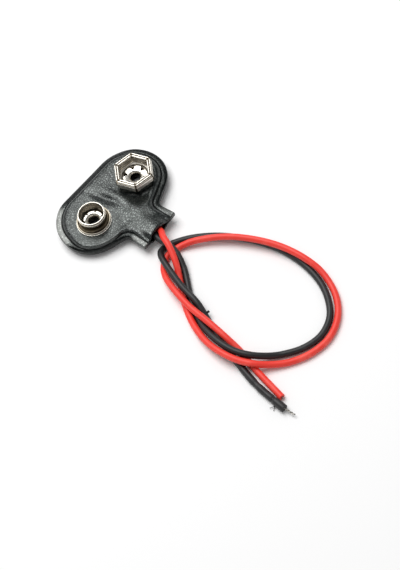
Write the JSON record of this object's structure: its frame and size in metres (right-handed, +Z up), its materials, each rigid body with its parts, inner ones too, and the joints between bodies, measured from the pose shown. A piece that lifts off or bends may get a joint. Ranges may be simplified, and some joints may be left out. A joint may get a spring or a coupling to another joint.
{
  "type": "9 V battery snap",
  "caption": "Nine volt battery snap with a round stud and a six-sided socket riveted in a soft black vinyl cover, with a red and a black lead tied in a loose knot.",
  "frame": {"origin": "midway between the axes of the stud and the socket, on the flat of the back, which is the surface that the part lies on", "axes": "+X from the stud to the socket, +Z up along the snaps, and the tail and the leads run towards -Y"},
  "size_m": [0.0288, 0.0659, 0.0062],
  "materials": {
    "cover_vinyl": "grained soft vinyl with a low sheen",
    "board_laminate": "matt paper laminate",
    "snap_nickel": "bright nickel plate",
    "tin_solder": "satin solder",
    "red_insulation": "soft satin vinyl",
    "black_insulation": "soft satin vinyl",
    "tinned_core": "tinned copper strand"
  },
  "bodies": {
    "root": {"top_cover": "cover_vinyl", "bottom_cover": "cover_vinyl", "contact_board": "board_laminate", "stud_contact": "snap_nickel", "socket_contact": "snap_nickel", "stud_rivet": "snap_nickel", "socket_rivet": "snap_nickel", "stud_solder": "tin_solder", "socket_solder": "tin_solder", "red_lead": "red_insulation", "black_lead": "black_insulation", "red_core_root": "tinned_core", "black_core_root": "tinned_core", "red_core_tip": "tinned_core", "black_core_tip": "tinned_core"}
  },
  "joints": []
}
